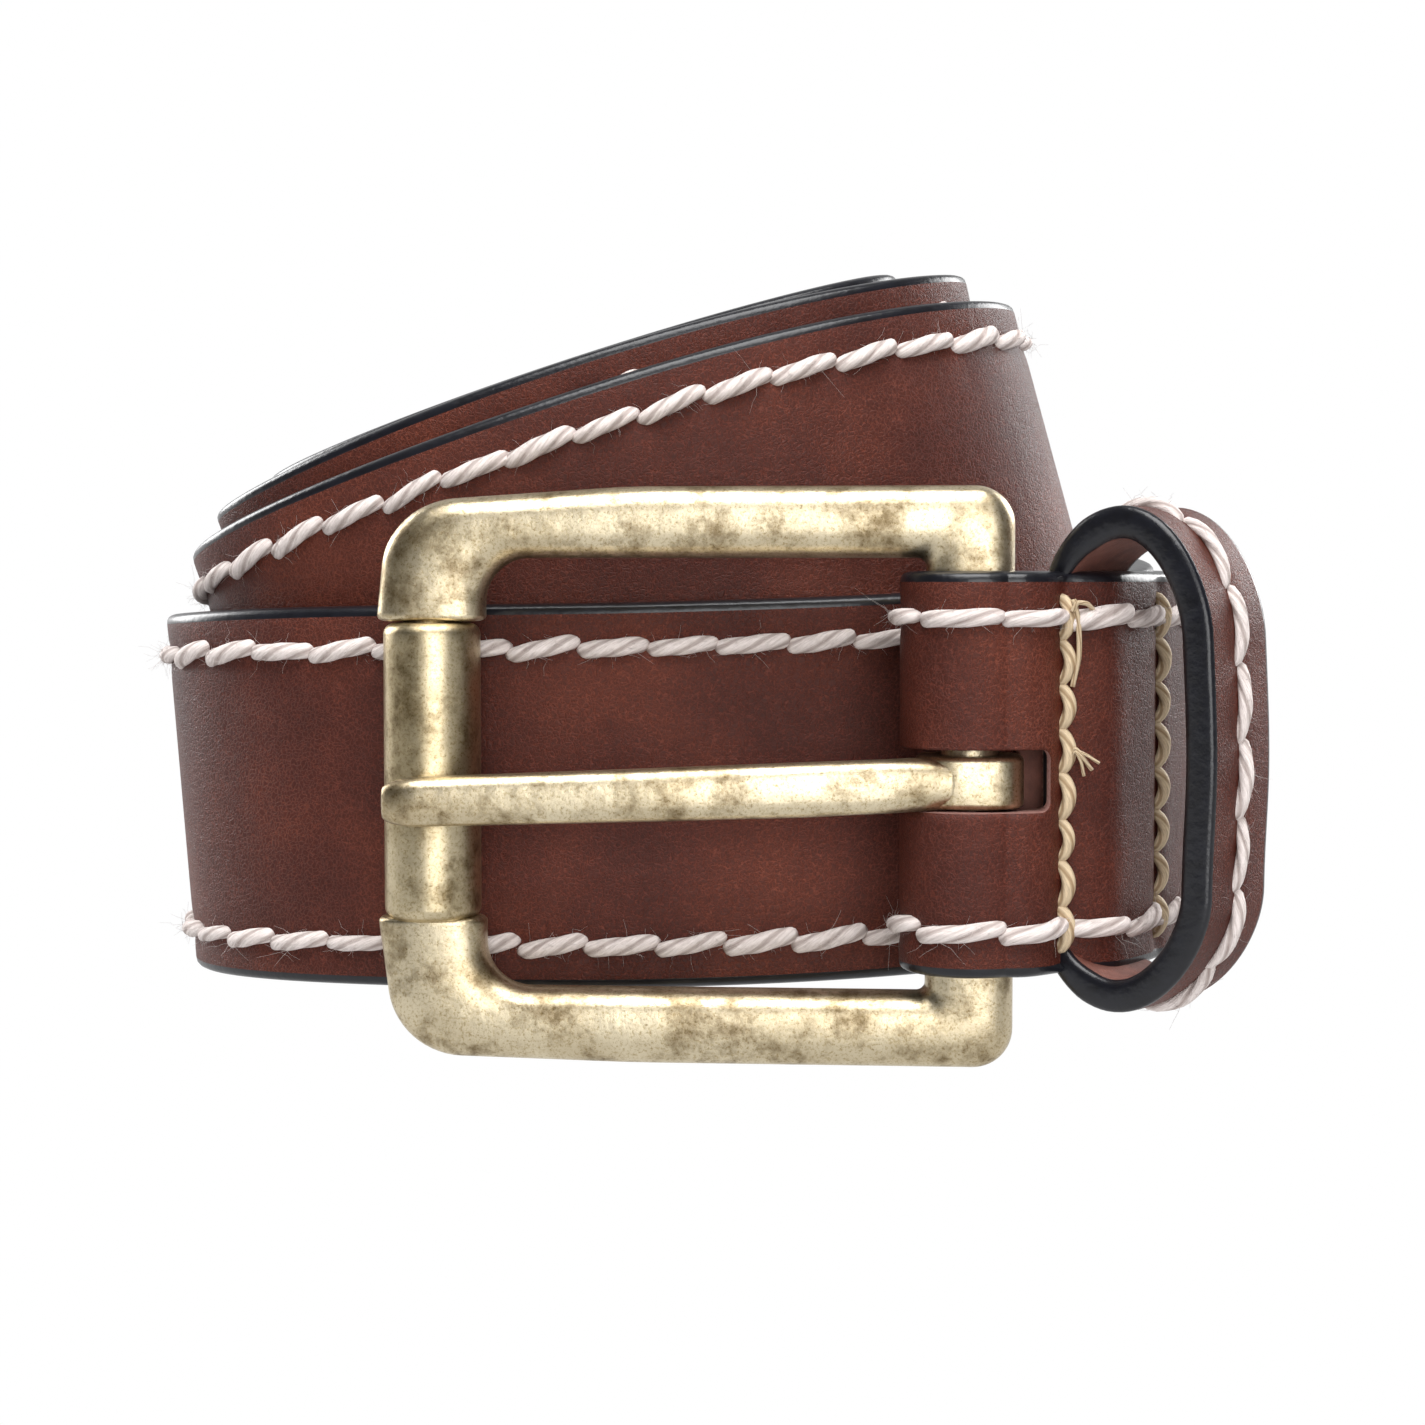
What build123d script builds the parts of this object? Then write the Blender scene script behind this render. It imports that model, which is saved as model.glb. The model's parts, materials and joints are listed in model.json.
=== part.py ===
"""Leather belt with a roller buckle, rolled up and standing on its edge.

Belt frame while modelling: X to the right along the buckle, Y away from the buckle's front,
Z along the strap's width.  The pivot bar's axis is at X = BAR_X, Y = 0.  At the end everything is
leaned back and lifted, so that it stands on Z = 0 with the middle of its footprint at the origin.
"""
import math
import os

import numpy as np
from build123d import *

# ---- strap ----
STRAP_WIDTH = 40.0
FACE_PLY = 2.0            # grain leather on the show side
LINING_PLY = 1.8          # lining leather on the body side
GLUE_GAP = 0.02           # bond line left open between the plies
POINT_LENGTH = 30.0       # the stretch over which the tip narrows to its point
POINT_END_HALF = 2.5      # half-width of the blunt end of the point
HOLE_RADIUS = 2.3         # punched adjustment holes
HOLE_PITCH = 25.0
HOLE_COUNT = 5
FIRST_HOLE_FROM_TIP = 75.0
SAMPLE_STEP = 4.0         # spacing of the stations along the strap
SPAN_STEPS = 12           # stations along each of its surfaces

# ---- buckle ----
BAR_X = 25.7
BAR_RADIUS = 2.9
FOLD_INNER_RADIUS = 3.2
FRAME_SWING = 4.5         # degrees by which the roller side rests deeper than the bar
FRAME_HALF_HEIGHT = 28.5
OPENING_HALF_HEIGHT = 21.3
FRAME_DEPTH = 6.6
FRAME_ROUNDING = 2.4
FRAME_LEFT = -59.8
FRAME_RIGHT = 4.4
STUB_WIDTH = 11.0
STUB_END = 15.6           # height at which the frame's stubs stop above and below the roller
ROLLER_X = -54.3
ROLLER_RADIUS = 4.9
ROLLER_LENGTH = 30.0
NECK_RADIUS = 3.0
RUNNING_GAP = 0.05        # radial play of the roller and of the prong's eye
PRONG_HEIGHT = 5.2
PRONG_EYE_RADIUS = 5.3
PRONG_LENGTH = 58.0
PRONG_LIFT = 0.35         # daylight between the prong and the roller
PRONG_Z = -0.9
PRONG_DROOP = 2.0         # degrees by which the prong's tip hangs lower than its eye
SLOT_HALF_HEIGHT = 3.4
SLOT_RIGHT = 32.0

# ---- keeper ----
KEEPER_HEADING = 51.0     # direction of the strap under the keeper, degrees from X
KEEPER_FOOT = (41.1, -0.5)  # where the strap's outer face crosses the keeper's mid plane
KEEPER_WIDTH = 12.0
KEEPER_FACE_PLY = 1.8
KEEPER_LINING_PLY = 1.4
KEEPER_STANDOFF = 9.6     # strap's outer face to the inside of the keeper's front wall
KEEPER_BASE_PLY = 1.1     # each ply skived thin where it lies between the strap's layers
KEEPER_INNER_HALF = 21.75
KEEPER_RISE = 1.2         # height of the loop's middle above the strap's
KEEPER_FRONT_RADIUS = 8.5  # inside corners in front of the strap and against it
KEEPER_BASE_RADIUS = 0.8
KEEPER_MIDDLE = (39.6, 0.7)  # where the strap's middle passes under the keeper's

# ---- threads ----
STITCH_PITCH = 7.1
STITCH_LENGTH = 5.8
THREAD = 1.6
STITCH_INSET = 4.6        # centre of the edge rows from the strap's edge
SEAM_PITCH = 4.4
SEAM_STITCH = 3.4
SEAM_THREAD = 1.1
SEAM_COUNT = 8
BESIDE_BAR = (33.8, -1.7), (32.2, 2.6)        # the seams in plan: front layer, back layer
BEYOND_KEEPER = (44.3, 7.7), (40.6, 9.8)

# ---- stance ----
LEAN = 6.3                # degrees by which the belt leans back on the floor

THICKNESS = FACE_PLY + LINING_PLY
HALF_THICKNESS = THICKNESS / 2
FOLD_RADIUS = FOLD_INNER_RADIUS + HALF_THICKNESS
HALF_WIDTH = STRAP_WIDTH / 2
COIL_Y = 40.5             # middle of the coil behind the buckle

# The strap's middle surface near the buckle: x, y and heading in degrees.
BACK_LAYER = [(43.2, 15.1, 243), (40.6, 9.8, 238), (35.2, 4.5, 216), (32.2, 2.6, 180)]
BACK_LAYER_END = 57.0     # angle round the bar at which the back layer meets the fold
FRONT_LAYER = [(30.4, -4.3, 22), (33.8, -1.7, 34), (39.6, 0.7, 50), (44.3, 7.7, 62), (55.0, 40.5, 90)]

# The coil: turned angle, tilt of the turn's plane, its lift along the strap's width,
# sideways centre, half-width and half-depth.
COIL = [
    (0, 0.0, 0.0, -3.0, 58.0, 35.5),
    (90, 3.0, -1.5, -3.0, 56.0, 34.5),
    (180, 4.5, 0.0, -4.0, 55.0, 34.5),
    (270, 1.5, -3.0, -5.0, 56.0, 31.0),
    (360, 4.0, -2.0, -2.5, 52.0, 31.0),
    (450, 12.0, 7.5, -2.5, 49.0, 29.2),
    (540, 18.0, 19.0, -2.0, 46.0, 28.0),
    (630, 18.0, 21.5, -0.5, 48.5, 26.5),
    (720, 15.5, 19.5, 0.0, 44.5, 25.5),
    (900, 20.0, 24.5, 2.0, 44.5, 21.6),
    (1080, 13.5, 25.5, 1.0, 37.5, 20.8),
    (1260, 18.0, 25.0, -1.0, 36.0, 17.0),
    (1440, 15.5, 26.5, 0.0, 32.5, 14.5),
    (1530, 16.5, 26.0, -2.0, 30.0, 12.0),
]


def smooth_through(xs, ys, x):
    """Cubic through the stations that never overshoots them: each slope is the harmonic mean."""
    xs = np.asarray(xs, float)
    ys = np.asarray(ys, float)
    gap = np.diff(xs)
    rise = np.diff(ys) / gap
    slope = np.concatenate([[rise[0]], np.zeros(len(xs) - 2), [rise[-1]]])
    for i in range(1, len(xs) - 1):
        if rise[i - 1] * rise[i] > 0:
            before = 2 * gap[i] + gap[i - 1]
            after = gap[i] + 2 * gap[i - 1]
            slope[i] = (before + after) / (before / rise[i - 1] + after / rise[i])
    i = np.clip(np.searchsorted(xs, x) - 1, 0, len(xs) - 2)
    t = (x - xs[i]) / gap[i]
    return (ys[i] * (1 + 2 * t) * (1 - t) ** 2 + slope[i] * gap[i] * t * (1 - t) ** 2
            + ys[i + 1] * t * t * (3 - 2 * t) + slope[i + 1] * gap[i] * t * t * (t - 1))


def plan_curve(stations, count=24):
    """Cubic arcs in plan from station to station, each leaving and arriving at its heading."""
    pieces = []
    for (x0, y0, h0), (x1, y1, h1) in zip(stations[:-1], stations[1:]):
        chord = math.hypot(x1 - x0, y1 - y0)
        t = np.linspace(0, 1, count, endpoint=False)[:, None]
        start = np.array([x0, y0])
        end = np.array([x1, y1])
        leave = chord * np.array([math.cos(math.radians(h0)), math.sin(math.radians(h0))])
        arrive = chord * np.array([math.cos(math.radians(h1)), math.sin(math.radians(h1))])
        pieces.append(start * (1 + 2 * t) * (1 - t) ** 2 + leave * t * (1 - t) ** 2
                      + end * t * t * (3 - 2 * t) + arrive * t * t * (t - 1))
    return np.concatenate(pieces)


def coil_points():
    """Middle line and width direction of the coil's turns: tilted, lifted, shrinking ellipses."""
    table = np.array(COIL)
    angle = np.arange(0, table[-1, 0] + 0.1, 2.0)
    tilt, lift, centre, half_width, half_depth = (
        smooth_through(table[:, 0], table[:, k], angle) for k in range(1, 6))
    turn = np.radians(angle)
    tilt = np.radians(tilt)
    along = centre + half_width * np.cos(turn)
    x = along * np.cos(tilt) - lift * np.sin(tilt)
    y = COIL_Y + half_depth * np.sin(turn)
    z = along * np.sin(tilt) + lift * np.cos(tilt)
    width_way = np.stack([-np.sin(tilt), 0 * tilt, np.cos(tilt)], 1)
    return np.stack([x, y, z], 1), width_way


def strap_route():
    """Middle line, width direction, outward normal and run length of the whole strap."""
    around = np.radians(np.arange(BACK_LAYER_END, 300, 6.0))
    wrap = np.stack([BAR_X + FOLD_RADIUS * np.cos(around), FOLD_RADIUS * np.sin(around)], 1)
    meet = (BAR_X + FOLD_RADIUS * math.cos(math.radians(BACK_LAYER_END)),
            FOLD_RADIUS * math.sin(math.radians(BACK_LAYER_END)), BACK_LAYER_END + 90)
    leave = (wrap[-1, 0], wrap[-1, 1], math.degrees(around[-1]) + 90 - 360)
    plan = np.concatenate([plan_curve(BACK_LAYER + [meet]), wrap[:-1],
                           plan_curve([leave] + FRONT_LAYER)])
    flat = np.column_stack([plan, np.zeros(len(plan))])
    upright = np.tile([0.0, 0.0, 1.0], (len(plan), 1))
    turns, turn_width = coil_points()
    line = np.concatenate([flat, turns])
    width_way = np.concatenate([upright, turn_width])
    run = np.concatenate([[0], np.cumsum(np.linalg.norm(np.diff(line, axis=0), axis=1))])
    return line, width_way, run


def resample(line, width_way, run, places):
    """Points, width directions and outward normals of the route at the given run lengths."""
    at = np.stack([np.interp(places, run, line[:, k]) for k in range(3)], 1)
    across = np.stack([np.interp(places, run, width_way[:, k]) for k in range(3)], 1)
    ahead = np.stack([np.interp(places + 0.5, run, line[:, k]) for k in range(3)], 1)
    behind = np.stack([np.interp(places - 0.5, run, line[:, k]) for k in range(3)], 1)
    outward = np.cross(ahead - behind, across)
    outward /= np.linalg.norm(outward, axis=1)[:, None]
    return at, across, outward


LINE, WIDTH_WAY, RUN = strap_route()
STRAP_LENGTH = RUN[-1]


def at_run(places):
    return resample(LINE, WIDTH_WAY, RUN, np.atleast_1d(np.asarray(places, float)))


def half_width_at(places):
    """Constant half-width, narrowing along a quarter ellipse to the blunt point of the tip."""
    into = np.clip((places - (STRAP_LENGTH - POINT_LENGTH)) / POINT_LENGTH, 0, 1)
    return POINT_END_HALF + (HALF_WIDTH - POINT_END_HALF) * np.sqrt(1 - into ** 2 * 0.999)


def spline_span(points, slopes, first, last):
    """Spline through a stretch of the points, leaving and arriving along their slopes."""
    knots = [tuple(point) for point in points[first:last + 1]]
    return Spline(*knots, tangents=(tuple(slopes[first]), tuple(slopes[last])))


def ribbon(places, half, inner, outer, shift=0.0):
    """Closed solid between two offsets from the middle surface, over a stretch of the strap.

    Its four corner curves are built span by span, tangent where the spans meet.
    """
    at, across, outward = at_run(places)
    corners = []
    for side, offset in ((1, outer), (1, inner), (-1, inner), (-1, outer)):
        reach = (shift + side * half)[:, None]
        corners.append(at + reach * across + offset * outward)
    slopes = [np.gradient(corner, places, axis=0) for corner in corners]
    starts = list(range(0, len(places) - 2, SPAN_STEPS))
    faces = []
    for first, last in zip(starts, starts[1:] + [len(places) - 1]):
        curves = [spline_span(corner, slope, first, last) for corner, slope in zip(corners, slopes)]
        faces += [Face.make_surface_from_curves(curves[k], curves[(k + 1) % 4]) for k in range(4)]
    for end in (0, -1):
        loop = [tuple(corner[end]) for corner in corners]
        faces.append(Face(Wire([Line(loop[k], loop[(k + 1) % 4]) for k in range(4)])))
    return Solid(Shell(faces))


def station(place, across_by, outward_by, turned=0.0):
    """Location on the strap: X along it, Y along its width, Z out of it, turned about Z."""
    at, across, outward = (v[0] for v in at_run(place))
    ahead = np.cross(across, outward)
    origin = at + across_by * across + outward_by * outward
    plane = Plane(origin=tuple(origin), x_dir=tuple(ahead), z_dir=tuple(outward))
    return plane.location * Rot(0, 0, turned)


def run_near(x, y, first=0.0, last=100.0):
    """Run length at which the strap passes nearest to a point in plan."""
    places = np.arange(first, last, 0.1)
    at = at_run(places)[0]
    return float(places[np.argmin(np.hypot(at[:, 0] - x, at[:, 1] - y))])


def strap_ply(inner, outer):
    """One ply of the strap, with the slot for the prong and the punched holes cut through it."""
    places = np.concatenate([
        np.arange(0, 70, 1.2),
        np.arange(70, STRAP_LENGTH - POINT_LENGTH, SAMPLE_STEP),
        np.linspace(STRAP_LENGTH - POINT_LENGTH, STRAP_LENGTH, 14)])
    ply = ribbon(places, half_width_at(places), inner, outer)
    slot_left = BAR_X - FOLD_RADIUS - THICKNESS
    slot = Pos((slot_left + SLOT_RIGHT) / 2, 0, PRONG_Z) * Box(
        SLOT_RIGHT - slot_left, 16.5, 2 * SLOT_HALF_HEIGHT)
    ply = ply - slot
    for k in range(HOLE_COUNT):
        place = STRAP_LENGTH - FIRST_HOLE_FROM_TIP - k * HOLE_PITCH
        ply = ply - station(place, 0, 0) * Cylinder(HOLE_RADIUS, THICKNESS + 1.4)
    return ply.solid()


def edge_thread(outward_side, first, last):
    """Both edge rows of one side, each one plain cord half sunk into the leather."""
    last = last - POINT_LENGTH * 0.45
    places = np.concatenate([np.arange(first, 70, 1.4),
                             np.arange(max(first, 70), last, SAMPLE_STEP)])
    inset = half_width_at(places) - STITCH_INSET
    height = (HALF_THICKNESS - 0.4, HALF_THICKNESS + 0.5)
    offsets = height if outward_side > 0 else (-height[1], -height[0])
    thin = np.full(len(places), THREAD / 2)
    return [ribbon(places, thin, *offsets, shift=side * inset) for side in (-1, 1)]


def seam_stitches(front_place, back_place):
    """One beige row across the doubled strap: stitches on both of its outsides."""
    stitches = []
    for place in (front_place, back_place):
        for k in range(SEAM_COUNT):
            across_by = (k - (SEAM_COUNT - 1) / 2) * SEAM_PITCH
            spot = station(place, across_by, HALF_THICKNESS + 0.1)
            stitches.append(spot * Box(SEAM_THREAD, SEAM_STITCH, 1.0))
    return stitches


def keeper_outline(grow_front, grow_base):
    """Rounded rectangle round the strap: X is outward from the strap's face, Y its width."""
    back = -THICKNESS - 0.05 - grow_base
    front = KEEPER_STANDOFF + grow_front
    half = KEEPER_INNER_HALF + grow_front
    block = Pos((back + front) / 2, KEEPER_RISE) * Rectangle(front - back, 2 * half)
    corners = block.vertices().sort_by(Axis.X)
    block = fillet(corners[2:], KEEPER_FRONT_RADIUS + grow_front)
    corners = block.vertices().sort_by(Axis.X)
    return fillet(corners[:2], KEEPER_BASE_RADIUS + grow_base)


def keeper_plane():
    heading = math.radians(KEEPER_HEADING)
    return Plane(origin=(*KEEPER_FOOT, 0), x_dir=(math.sin(heading), -math.cos(heading), 0),
                 z_dir=(math.cos(heading), math.sin(heading), 0))


def keeper_ply(inside, outside, inner_base, outer_base):
    """One ply of the keeper's loop; its base is a thin tongue between the strap's layers."""
    ring = keeper_outline(outside, outer_base) - keeper_outline(inside, inner_base)
    ring = ring - Pos(-THICKNESS - 2, KEEPER_RISE) * Rectangle(8, 2 * HALF_WIDTH + 2)
    loop = keeper_plane().location * extrude(ring, KEEPER_WIDTH / 2, both=True)
    middle = run_near(*KEEPER_MIDDLE, 40)
    places = np.linspace(middle - KEEPER_WIDTH / 2, middle + KEEPER_WIDTH / 2, 5)
    half = np.full(len(places), HALF_WIDTH + 1.4)
    under = -HALF_THICKNESS - 0.05
    tongue = ribbon(places, half, under - outer_base, under - inner_base, KEEPER_RISE)
    return loop.solid() + tongue


def keeper_stitches():
    """One row of stitches down the middle of the keeper's front wall and round its corners."""
    outline = keeper_outline(KEEPER_LINING_PLY + KEEPER_FACE_PLY, 2 * KEEPER_BASE_PLY).wire()
    length = outline.length
    stitches = []
    count = int(length / STITCH_PITCH)
    for k in range(count):
        spot = outline.location_at((k + 0.5) / count)
        if spot.position.X < 2.0:
            continue
        lengthwise = keeper_plane().location * spot
        stitches.append(lengthwise * Box(1.1, 1.3, STITCH_LENGTH - 1.0))
    return stitches


def buckle_outline(top):
    """Half of the frame's front view, above the strap or, mirrored, below it."""
    shoulder = 9.0 if top else 12.0
    outer = [(FRAME_RIGHT, OPENING_HALF_HEIGHT - 1.0), (FRAME_RIGHT, FRAME_HALF_HEIGHT),
             (-40.0, FRAME_HALF_HEIGHT), (FRAME_LEFT, FRAME_HALF_HEIGHT - 1.2),
             (FRAME_LEFT, STUB_END), (FRAME_LEFT + STUB_WIDTH, STUB_END),
             (FRAME_LEFT + STUB_WIDTH, OPENING_HALF_HEIGHT), (-FRAME_RIGHT, OPENING_HALF_HEIGHT),
             (-FRAME_RIGHT, OPENING_HALF_HEIGHT - 1.0)]
    face = make_face(Polyline(*outer, close=True))
    pick = {1: 4.0, 3: shoulder, 6: 4.5}
    for index, radius in pick.items():
        corner = min(face.vertices(), key=lambda v: math.dist((v.X, v.Y), outer[index]))
        face = fillet(corner, radius)
    return face


def buckle_frame():
    """Cast frame: two rounded side bars, the pivot bar, and the neck that carries the roller."""
    halves = []
    for top in (True, False):
        side = extrude(buckle_outline(top), FRAME_DEPTH / 2, both=True)
        rims = side.faces().filter_by(Axis.Z).edges()
        side = fillet(rims, FRAME_ROUNDING)
        side = Rot(90, 0, 0) * side
        halves.append(side if top else Rot(180, 0, 0) * side)
    pivot = Cylinder(BAR_RADIUS, 2 * OPENING_HALF_HEIGHT + 4)
    neck = Pos(ROLLER_X, 0, 0) * Cylinder(NECK_RADIUS, 2 * STUB_END + 6)
    return (halves[0] + halves[1] + pivot + neck).solid()


def roller():
    """Tube that turns on the frame's neck, with rounded ends."""
    tube = Cylinder(ROLLER_RADIUS, ROLLER_LENGTH)
    rims = tube.edges().filter_by(GeomType.CIRCLE)
    tube = fillet(rims, 1.2) - Cylinder(NECK_RADIUS + RUNNING_GAP, ROLLER_LENGTH + 2)
    return Pos(ROLLER_X, 0, -0.2) * tube


def prong():
    """Tongue from its eye round the pivot bar to a rounded tip resting over the roller."""
    rest = -(ROLLER_RADIUS + PRONG_LIFT)
    profile = [(1.0, -4.9), (-4.0, -6.0), (-13.0, -8.1), (-30.0, -9.3), (-52.0, -9.4),
               (-PRONG_LENGTH, rest - 3.0), (-PRONG_LENGTH, rest), (-46.0, rest),
               (-14.0, -4.2), (-4.5, -2.3), (-3.2, 3.0), (1.0, 3.6)]
    blade = extrude(make_face(Polyline(*profile, close=True)), PRONG_HEIGHT / 2, both=True)
    tip = blade.edges().filter_by(Axis.Z).sort_by(Axis.X)[:2]
    blade = fillet(tip, 1.3)
    lengthwise = blade.faces().filter_by(Axis.Z).edges().filter_by(
        lambda edge: edge.center().X < -16)
    blade = chamfer(lengthwise, 0.6)
    blade = Rot(0, -PRONG_DROOP, 0) * blade
    eye = Cylinder(PRONG_EYE_RADIUS, PRONG_HEIGHT)
    bore = Cylinder(BAR_RADIUS + RUNNING_GAP, PRONG_HEIGHT + 4)
    return Pos(0, 0, PRONG_Z) * (blade + eye - bore).solid()


def write(name, solids, place):
    """One STEP file for a node, in its standing place."""
    items = [place * item for item in (solids if isinstance(solids, list) else [solids])]
    shape = items[0] if len(items) == 1 else Compound(children=items)
    shape.label = name
    export_step(shape, f"parts/{name}.step")


def main():
    os.makedirs("parts", exist_ok=True)
    on_bar = Pos(BAR_X, 0, 0) * Rot(0, 0, -FRAME_SWING)
    parts = {}
    seam = HALF_THICKNESS - FACE_PLY
    parts["strap_face"] = strap_ply(seam + GLUE_GAP, HALF_THICKNESS)
    parts["strap_lining"] = strap_ply(-HALF_THICKNESS, seam)
    beside_bar = [run_near(*BESIDE_BAR[0], 30), run_near(*BESIDE_BAR[1], 0, 30)]
    beyond_keeper = [run_near(*BEYOND_KEEPER[0], 30), run_near(*BEYOND_KEEPER[1], 0, 30)]
    parts["edge_thread_face"] = edge_thread(1, 4.0, STRAP_LENGTH)
    parts["edge_thread_lining"] = edge_thread(-1, beyond_keeper[0] + 6, STRAP_LENGTH)
    parts["seam_thread_beside_bar"] = seam_stitches(*beside_bar)
    parts["seam_thread_beyond_keeper"] = seam_stitches(*beyond_keeper)
    middle = KEEPER_LINING_PLY
    outside = KEEPER_LINING_PLY + KEEPER_FACE_PLY
    parts["keeper_face"] = keeper_ply(middle + GLUE_GAP, outside,
                                      KEEPER_BASE_PLY + GLUE_GAP, 2 * KEEPER_BASE_PLY)
    parts["keeper_lining"] = keeper_ply(0, middle, 0, KEEPER_BASE_PLY)
    parts["keeper_thread"] = keeper_stitches()
    parts["buckle_frame"] = on_bar * buckle_frame()
    parts["roller"] = on_bar * roller()
    parts["prong"] = on_bar * prong()

    lean = Rot(-LEAN, 0, 0)
    shapes = []
    for item in parts.values():
        shapes += [lean * solid for solid in (item if isinstance(item, list) else [item])]
    box = Compound(children=shapes).bounding_box()
    middle_x = (box.min.X + box.max.X) / 2
    middle_y = (box.min.Y + box.max.Y) / 2
    place = Pos(-middle_x, -middle_y, -box.min.Z) * lean
    for name, item in parts.items():
        write(name, item, place)
    print("strap length", round(STRAP_LENGTH))
    print("pivot bar", tuple(round(v, 4) for v in (place * Pos(BAR_X, 0, 0)).position))


if __name__ == "__main__":
    main()
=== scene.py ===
"""A rolled leather belt with a cast brass roller buckle, standing on its edge.

Millimetres are used in the belt's own upright frame: X to the right along the buckle, Y away from
the buckle's front, Z along the strap's width.  standing() leans that frame back on its edge.
"""
import json
import math

import bmesh
import bpy
import mathutils
import numpy as np
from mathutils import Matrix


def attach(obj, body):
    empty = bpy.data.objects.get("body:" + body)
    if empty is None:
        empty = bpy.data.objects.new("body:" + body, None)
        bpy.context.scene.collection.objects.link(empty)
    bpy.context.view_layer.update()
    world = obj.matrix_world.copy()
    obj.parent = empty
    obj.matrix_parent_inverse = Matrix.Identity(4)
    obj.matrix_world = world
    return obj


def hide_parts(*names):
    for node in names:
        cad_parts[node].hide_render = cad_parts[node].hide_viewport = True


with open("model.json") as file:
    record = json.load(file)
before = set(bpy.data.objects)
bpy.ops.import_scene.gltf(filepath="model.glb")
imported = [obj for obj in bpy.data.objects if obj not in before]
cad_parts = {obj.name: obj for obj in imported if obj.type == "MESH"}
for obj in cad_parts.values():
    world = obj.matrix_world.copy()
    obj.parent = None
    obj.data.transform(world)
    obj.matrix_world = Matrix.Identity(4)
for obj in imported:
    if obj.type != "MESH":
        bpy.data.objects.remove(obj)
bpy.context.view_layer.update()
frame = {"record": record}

# ---- sizes in millimetres, in the belt's own upright frame ----
HALF_WIDTH = 20.0
HALF_THICKNESS = 1.9
POINT_LENGTH = 30.0
POINT_END_HALF = 2.5
EDGE_CROWN = 1.1
BAR_X = 25.7
FOLD_RADIUS = 5.1
FOLD_START = 57.0
FOLD_END = 300.0
COIL_Y = 40.5
STITCH_PITCH = 7.1
STITCH_INSET = 4.6
STITCH_LENGTH = 6.9
STITCH_SLANT = 8.0
FIRST_STITCH = 4.0
LAST_STITCH_FROM_TIP = 14.0
CORD_RADIUS = 0.82
SEAM_PITCH = 4.4
SEAM_COUNT = 8
SEAM_RADIUS = 0.66
SEAM_STITCH_LENGTH = 4.2
FUZZY_STITCHES = 190
HAIR_RADIUS = 0.024
HAIR_CLEARANCE = 0.3
HOLE_RADIUS = 2.3
HOLE_PITCH = 25.0
HOLE_COUNT = 5
FIRST_HOLE_FROM_TIP = 75.0
SLOT_RIGHT = 33.2
SLOT_BACK_RIGHT = 30.6
SLOT_HALF_HEIGHT = 3.1
SLOT_Z = -0.6
SLOT_CORNER = 1.0
PRONG_Z = -0.9
PRONG_TIP_START = 54.0
PRONG_TIP_LENGTH = 4.0
PRONG_HALF_HEIGHT = 2.6
PRONG_FALL_PER_MM = 0.0349
PRONG_EYE_RADIUS = 5.4
PRONG_EYE_ROUNDING = 0.6
PRONG_EYE_HALF = 2.6
FRAME_SWING = 4.5
PIVOT_RADIUS = 2.9
PIVOT_HALF_LENGTH = 22.0
BAR_HALF_WIDTH = 4.4
BAR_HALF_DEPTH = 3.3
STUB_LEFT = -59.8
STUB_RIGHT = -48.8
STUB_END = 15.5
STUB_CAP = 0.55
# Each half of the frame: opening's edge, outer edge, corner's left end, fall towards the corner.
UPPER_HALF = (21.3, 28.5, -58.6, 1.3)
LOWER_HALF = (22.1, 29.7, -58.0, 0.5)
ROLLER_X = -54.3
ROLLER_Z = -0.2
ROLLER_RADIUS = 4.9
ROLLER_HALF_LENGTH = 15.0
ROLLER_ROUNDING = 1.2
ROLLER_BORE = 3.05
NECK_RADIUS = 3.0
NECK_HALF_LENGTH = 17.0
KEEPER_HEADING = 51.0
KEEPER_FOOT = (41.1, -0.5)
KEEPER_HALF_WIDTH = 6.0
KEEPER_THICKNESS = 3.2
KEEPER_CROWN = 0.8
KEEPER_STITCH_SLANT = 6.0

TWISTS_PER_MM = 0.10
PLIES = 3

# The strap's middle line in plan by the buckle: x, y, heading.
BACK_LAYER = [(43.2, 15.1, 243), (40.6, 9.8, 238), (35.2, 4.5, 216), (32.2, 2.6, 180)]
FRONT_LAYER = [(30.4, -4.3, 22), (33.8, -1.7, 34), (39.6, 0.7, 50), (44.3, 7.7, 62), (55.0, 40.5, 90)]
# The coil: turned angle, tilt, lift, sideways centre, half-width, half-depth.
COIL = [
    (0, 0.0, 0.0, -3.0, 58.0, 35.5), (90, 3.0, -1.5, -3.0, 56.0, 34.5),
    (180, 4.5, 0.0, -4.0, 55.0, 34.5), (270, 1.5, -3.0, -5.0, 56.0, 31.0),
    (360, 4.0, -2.0, -2.5, 52.0, 31.0), (450, 12.0, 7.5, -2.5, 49.0, 29.2),
    (540, 18.0, 19.0, -2.0, 46.0, 28.0), (630, 18.0, 21.5, -0.5, 48.5, 26.5),
    (720, 15.5, 19.5, 0.0, 44.5, 25.5), (900, 20.0, 24.5, 2.0, 44.5, 21.6),
    (1080, 13.5, 25.5, 1.0, 37.5, 20.8), (1260, 18.0, 25.0, -1.0, 36.0, 17.0),
    (1440, 15.5, 26.5, 0.0, 32.5, 14.5), (1530, 16.5, 26.0, -2.0, 30.0, 12.0)]

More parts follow.
